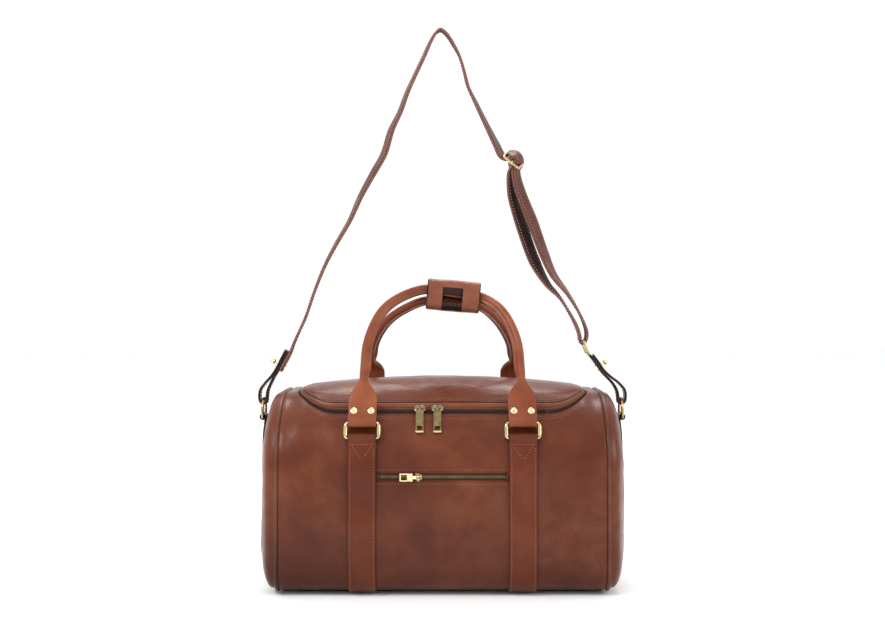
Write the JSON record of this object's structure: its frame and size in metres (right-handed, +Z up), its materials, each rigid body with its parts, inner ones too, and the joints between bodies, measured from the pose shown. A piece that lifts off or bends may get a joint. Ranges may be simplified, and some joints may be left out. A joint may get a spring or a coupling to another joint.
{
  "type": "duffel bag",
  "caption": "Barrel-shaped leather duffel bag with a zipped flap lid, a front zip pocket, two handles held by a wrap, and a shoulder strap with a slide buckle on side rings.",
  "frame": {"origin": "centre of the underside of the base, on the floor", "axes": "+X along the bag's length to its right end seen from the front, -Y out of the front panel with the pocket, +Z up"},
  "size_m": [0.457, 0.2407, 0.68],
  "materials": {
    "leather": "semi-gloss",
    "leather_trim": "semi-gloss",
    "leather_strap": "satin",
    "leather_border": "satin",
    "piping": "semi-gloss",
    "antique_brass": "satin",
    "bright_brass": "polished",
    "lining": "matte",
    "zip_tape": "matte",
    "zip_coil": "satin",
    "board": "matte",
    "core": "matte"
  },
  "bodies": {
    "bag": {"front_panel": "leather", "back_panel": "leather", "base_panel": "leather", "end_panel_left": "leather", "end_panel_right": "leather", "piping_left": "piping", "piping_right": "piping", "lining": "lining", "base_board": "board", "pocket_pouch": "lining", "pocket_zip_tape": "zip_tape", "pocket_zip_coil": "zip_coil", "main_zip_tape_body": "zip_tape", "main_zip_coil_body": "zip_coil", "front_strap_left": "leather_trim", "front_strap_right": "leather_trim", "back_strap_left": "leather_trim", "back_strap_right": "leather_trim", "side_tab_left": "leather_trim", "side_tab_right": "leather_trim"},
    "lid": {"lid_panel": "leather", "lid_border": "leather_border", "lid_lining": "lining", "main_zip_coil_lid": "zip_coil", "main_zip_tape_lid": "zip_tape"},
    "strap": {"hanger_left": "leather_strap", "hanger_right": "leather_strap", "stud_left": "bright_brass", "stud_right": "bright_brass", "shoulder_strap": "leather_strap", "shoulder_slide": "bright_brass", "shoulder_ring": "bright_brass"},
    "front_handle": {"front_handle_leather": "leather_trim", "front_handle_core": "core", "front_handle_rivets": "bright_brass", "keeper_wrap": "leather_trim"},
    "back_handle": {"back_handle_leather": "leather_trim", "back_handle_core": "core", "back_handle_rivets": "bright_brass"},
    "main_slider_left": {"main_slider_left": "antique_brass"},
    "main_slider_right": {"main_slider_right": "antique_brass"},
    "main_pull_left": {"main_pull_left": "antique_brass"},
    "main_pull_right": {"main_pull_right": "antique_brass"},
    "pocket_slider": {"pocket_slider": "antique_brass"},
    "pocket_pull": {"pocket_pull": "bright_brass"},
    "front_ring_left": {"front_ring_left": "antique_brass"},
    "front_ring_right": {"front_ring_right": "antique_brass"},
    "back_ring_left": {"back_ring_left": "antique_brass"},
    "back_ring_right": {"back_ring_right": "antique_brass"},
    "side_ring_left": {"side_ring_left": "bright_brass"},
    "side_ring_right": {"side_ring_right": "bright_brass"}
  },
  "joints": [
    {"name": "lid_open", "type": "hinge", "parent": "bag", "child": "lid", "pos_m": [0, 0.06, 0.2262], "axis": [-1, 0, 0], "range_deg": [0, 100], "deforming": ["keeper_wrap"]},
    {"name": "front_ring_left_turn", "type": "hinge", "parent": "bag", "child": "front_ring_left", "pos_m": [-0.093, -0.1111, 0.1823], "axis": [1, 0, 0], "range_deg": [0, 100]},
    {"name": "front_ring_right_turn", "type": "hinge", "parent": "bag", "child": "front_ring_right", "pos_m": [0.093, -0.1111, 0.1823], "axis": [1, 0, 0], "range_deg": [0, 100]},
    {"name": "back_ring_left_turn", "type": "hinge", "parent": "bag", "child": "back_ring_left", "pos_m": [-0.093, 0.1067, 0.1907], "axis": [-1, 0, 0], "range_deg": [0, 100]},
    {"name": "back_ring_right_turn", "type": "hinge", "parent": "bag", "child": "back_ring_right", "pos_m": [0.093, 0.1067, 0.1907], "axis": [-1, 0, 0], "range_deg": [0, 100]},
    {"name": "front_handle_swing", "type": "hinge", "parent": "front_ring_left", "child": "front_handle", "pos_m": [0, -0.1067, 0.1987], "axis": [1, 0, 0], "range_deg": [0, 90], "deforming": ["keeper_wrap"]},
    {"name": "back_handle_swing", "type": "hinge", "parent": "back_ring_left", "child": "back_handle", "pos_m": [0, 0.1037, 0.2074], "axis": [-1, 0, 0], "range_deg": [0, 90], "deforming": ["keeper_wrap"]},
    {"name": "main_slider_left_slide", "type": "slide", "parent": "lid", "child": "main_slider_left", "axis": [1, 0, 0], "range_m": [-0.04, 0]},
    {"name": "main_slider_right_slide", "type": "slide", "parent": "lid", "child": "main_slider_right", "axis": [1, 0, 0], "range_m": [0, 0.072]},
    {"name": "main_pull_left_flip", "type": "hinge", "parent": "main_slider_left", "child": "main_pull_left", "pos_m": [-0.0266, -0.08434, 0.21681], "axis": [-1, 0, 0], "range_deg": [0, 150]},
    {"name": "main_pull_right_flip", "type": "hinge", "parent": "main_slider_right", "child": "main_pull_right", "pos_m": [-0.006, -0.08434, 0.21681], "axis": [-1, 0, 0], "range_deg": [0, 150]},
    {"name": "pocket_slider_slide", "type": "slide", "parent": "bag", "child": "pocket_slider", "axis": [1, 0, 0], "range_m": [-0.042, 0.098]},
    {"name": "pocket_pull_flip", "type": "hinge", "parent": "pocket_slider", "child": "pocket_pull", "pos_m": [-0.028, -0.1199, 0.138], "axis": [0, 0, 1], "range_deg": [0, 170]},
    {"name": "side_ring_left_rock", "type": "hinge", "parent": "bag", "child": "side_ring_left", "pos_m": [-0.222, 0, 0.198], "axis": [0, -1, 0], "range_deg": [-1.5, 3]},
    {"name": "side_ring_right_rock", "type": "hinge", "parent": "bag", "child": "side_ring_right", "pos_m": [0.222, 0, 0.198], "axis": [0, 1, 0], "range_deg": [-1.5, 3]},
    {"name": "strap_swing", "type": "hinge", "parent": "bag", "child": "strap", "pos_m": [0, 0, 0.206], "axis": [1, 0, 0], "range_deg": [-45, 45]}
  ],
  "couplings": [
    {"joint": "front_ring_left_turn", "follows": "lid_open", "ratio": 1},
    {"joint": "front_ring_right_turn", "follows": "lid_open", "ratio": 1},
    {"joint": "back_ring_left_turn", "follows": "lid_open", "ratio": 1},
    {"joint": "back_ring_right_turn", "follows": "lid_open", "ratio": 1}
  ]
}
